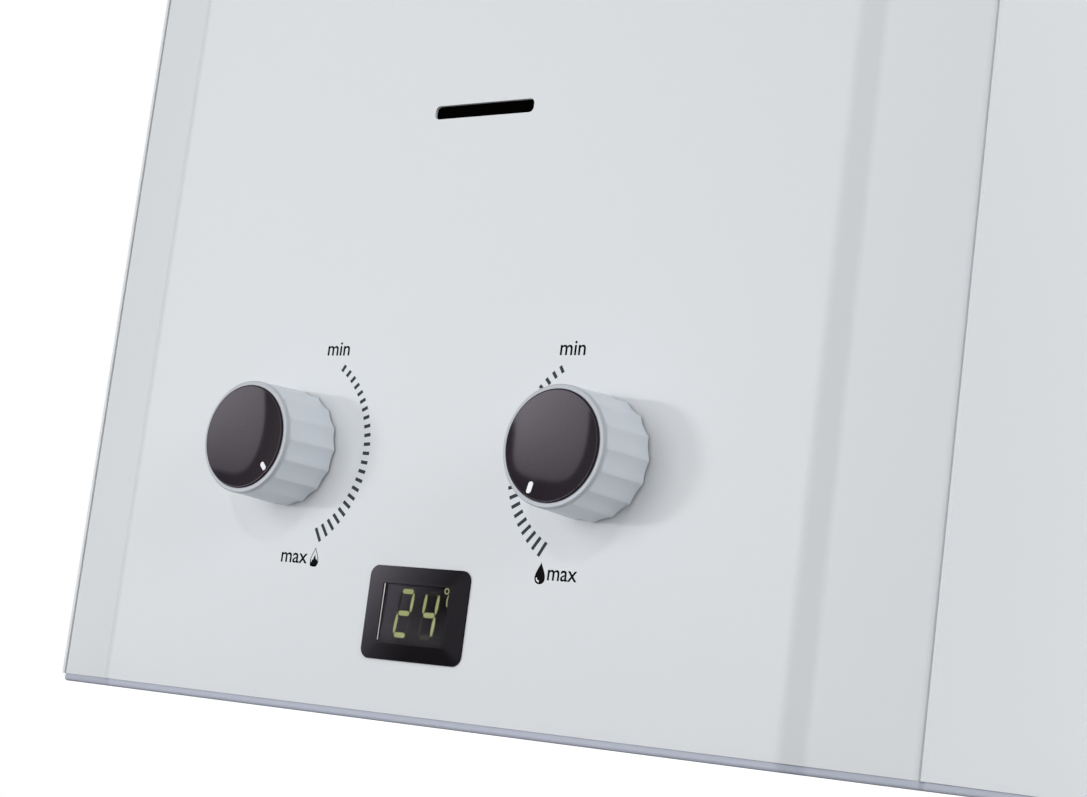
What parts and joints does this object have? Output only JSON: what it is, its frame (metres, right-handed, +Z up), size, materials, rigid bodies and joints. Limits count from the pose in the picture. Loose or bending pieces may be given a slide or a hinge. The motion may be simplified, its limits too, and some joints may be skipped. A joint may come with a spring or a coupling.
{
  "type": "portable gas water heater",
  "caption": "Portable gas water heater: flat-fronted sheet steel case with fluted control knobs, a flame slot, a temperature display, a rain cap and a folding handle.",
  "frame": {"origin": "centre of the base plate's underside", "axes": "+Z up, the front faces -Y, +X to the right of someone who faces the front"},
  "size_m": [0.3298, 0.1759, 0.57],
  "materials": {
    "case_paint": "light grey satin stove enamel",
    "base_paint": "blue-grey satin enamel",
    "galvanised": "zinc-coated sheet",
    "stainless": "brushed stainless sheet and rod",
    "zinc_screw": "bright zinc plate",
    "knob_silver": "satin silver lacquered moulding",
    "cap_charcoal": "fine-grained charcoal moulding",
    "mark_white": "white insert",
    "display_black": "polished black moulding",
    "display_glass": "dark tinted window",
    "segment_board": "segment display on its board",
    "mica": "amber mica sheet",
    "grip_rubber": "ribbed black rubber",
    "valve_casting": "sand-textured casting",
    "brass": "turned brass",
    "copper": "soldered copper, weighed as brass",
    "burner_steel": "heat-tinted stainless",
    "ceramic": "white glazed insulator",
    "nylon": "natural nylon",
    "box_plastic": "dark grey moulding",
    "drawer_plastic": "light grey moulding",
    "cell_can": "plain sleeved cell, weighed as aluminium",
    "contact_nickel": "nickel-plated spring",
    "lead_silicone": "silicone-covered lead"
  },
  "bodies": {
    "casing": {"back_plate": "galvanised", "back_screws": "zinc_screw", "base_plate": "base_paint", "battery_contacts": "contact_nickel", "battery_housing": "box_plastic", "burner_bars": "burner_steel", "burner_tray": "galvanised", "cold_inlet_port": "brass", "cold_pipe": "copper", "control_box": "box_plastic", "diaphragm_cover": "valve_casting", "display_board": "segment_board", "display_frame": "display_black", "display_window": "display_glass", "draft_hood": "galvanised", "drain_screw": "brass", "exchanger_fins": "copper", "exchanger_shell": "copper", "exchanger_tubes": "copper", "flame_sensor": "ceramic", "flame_window": "mica", "flow_switch": "box_plastic", "front_cover": "case_paint", "gas_feed_pipe": "copper", "gas_inlet_port": "brass", "gas_manifold": "valve_casting", "gas_solenoid": "copper", "gas_valve_body": "valve_casting", "handle_ears": "stainless", "hot_outlet_port": "brass", "hot_pipe": "copper", "ignition_electrode": "ceramic", "ignition_lead": "lead_silicone", "left_side_panel": "case_paint", "overheat_switch": "box_plastic", "rain_cap": "stainless", "right_side_panel": "case_paint", "spindle_bushes": "nylon", "top_plate": "case_paint", "top_screws": "zinc_screw", "valve_bridge": "brass", "water_valve_body": "valve_casting", "window_frame": "galvanised"},
    "gas_knob": {"gas_knob_body": "knob_silver", "gas_knob_cap": "cap_charcoal", "gas_knob_clip": "stainless", "gas_knob_mark": "mark_white", "gas_spindle": "brass"},
    "water_knob": {"water_knob_body": "knob_silver", "water_knob_cap": "cap_charcoal", "water_knob_clip": "stainless", "water_knob_mark": "mark_white", "water_spindle": "brass"},
    "valve_rod": {"push_rod": "stainless"},
    "plunger": {"switch_plunger": "nylon"},
    "handle": {"handle_bail": "stainless", "handle_grip": "grip_rubber"},
    "drawer": {"battery_drawer": "drawer_plastic", "battery_cells": "cell_can"}
  },
  "joints": [
    {"name": "gas_knob_turn", "type": "hinge", "parent": "casing", "child": "gas_knob", "pos_m": [-0.0592, -0.076, 0.0801], "axis": [0, -1, 0], "range_deg": [-17, 99.5]},
    {"name": "water_knob_turn", "type": "hinge", "parent": "casing", "child": "water_knob", "pos_m": [0.0592, -0.076, 0.0801], "axis": [0, -1, 0], "range_deg": [-120.6, 0]},
    {"name": "valve_rod_slide", "type": "slide", "parent": "casing", "child": "valve_rod", "axis": [-1, 0, 0], "range_m": [0, 0.0035], "stiffness_N_per_m": 300},
    {"name": "switch_plunger_slide", "type": "slide", "parent": "casing", "child": "plunger", "axis": [-1, 0, 0], "range_m": [0, 0.0035]},
    {"name": "handle_fold", "type": "hinge", "parent": "casing", "child": "handle", "pos_m": [0, 0.008, 0.549], "axis": [1, 0, 0], "range_deg": [0, 90]},
    {"name": "battery_drawer_slide", "type": "slide", "parent": "casing", "child": "drawer", "axis": [-1, 0, 0], "range_m": [0, 0.062]}
  ],
  "couplings": [
    {"joint": "switch_plunger_slide", "follows": "valve_rod_slide", "ratio": 1}
  ]
}
